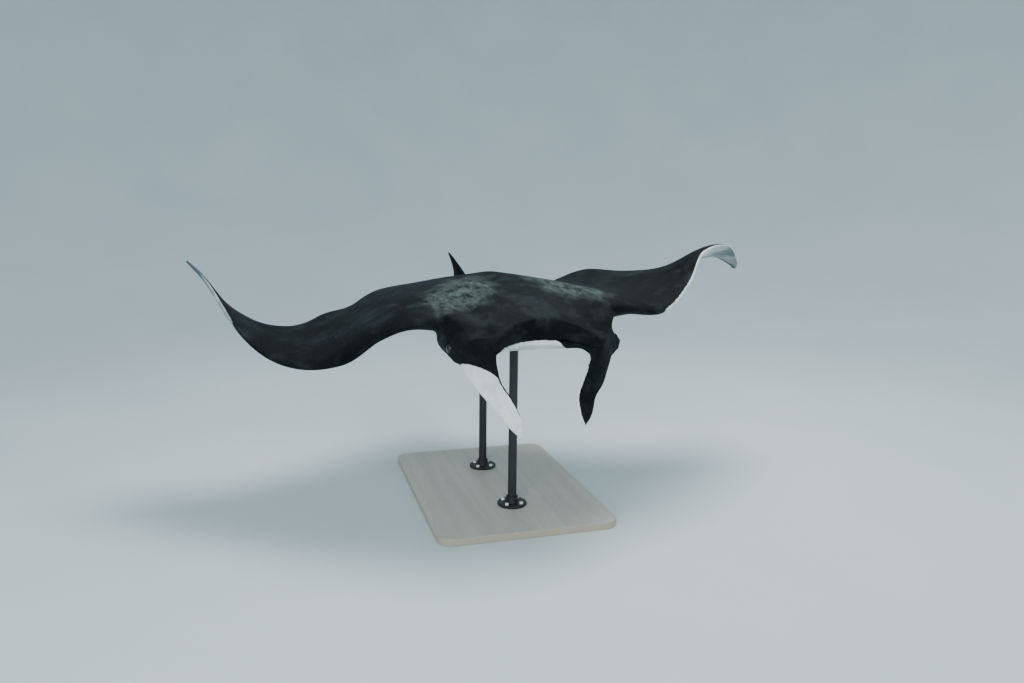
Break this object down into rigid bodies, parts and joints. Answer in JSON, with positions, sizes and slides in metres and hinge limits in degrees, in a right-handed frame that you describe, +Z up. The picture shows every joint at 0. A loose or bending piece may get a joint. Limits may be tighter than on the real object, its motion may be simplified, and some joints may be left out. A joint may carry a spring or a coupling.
{
  "type": "manta ray model on a display stand",
  "caption": "Life-size reef manta ray in mid stroke, wings bent, head fins hanging, held on two rods over a flat rectangular base.",
  "frame": {"origin": "centre of the base's underside, on the floor under the animal's trunk", "axes": "+Z up; the animal faces -Y, its tail runs to +Y, and +X is the animal's left"},
  "size_m": [3.241, 3.2067, 1.3371],
  "materials": {
    "skin": "matt leathery skin, charcoal above with grey-green shoulder bars, and white below",
    "eye": "wet dark eye, glossy",
    "stand_board": "lacquered plywood board, satin",
    "stand_steel": "black powder coat, satin"
  },
  "bodies": {
    "root": {"head": "skin", "trunk": "skin", "wing_left": "skin", "wing_right": "skin", "tail_base": "skin", "tail_tip": "skin", "dorsal_fin": "skin", "cephalic_fin_left": "skin", "cephalic_fin_right": "skin", "pelvic_fin_left": "skin", "pelvic_fin_right": "skin", "eye_left": "eye", "eye_right": "eye", "stand_base": "stand_board", "stand_flange_front": "stand_steel", "stand_flange_rear": "stand_steel", "stand_rod_front": "stand_steel", "stand_rod_rear": "stand_steel"}
  },
  "joints": []
}
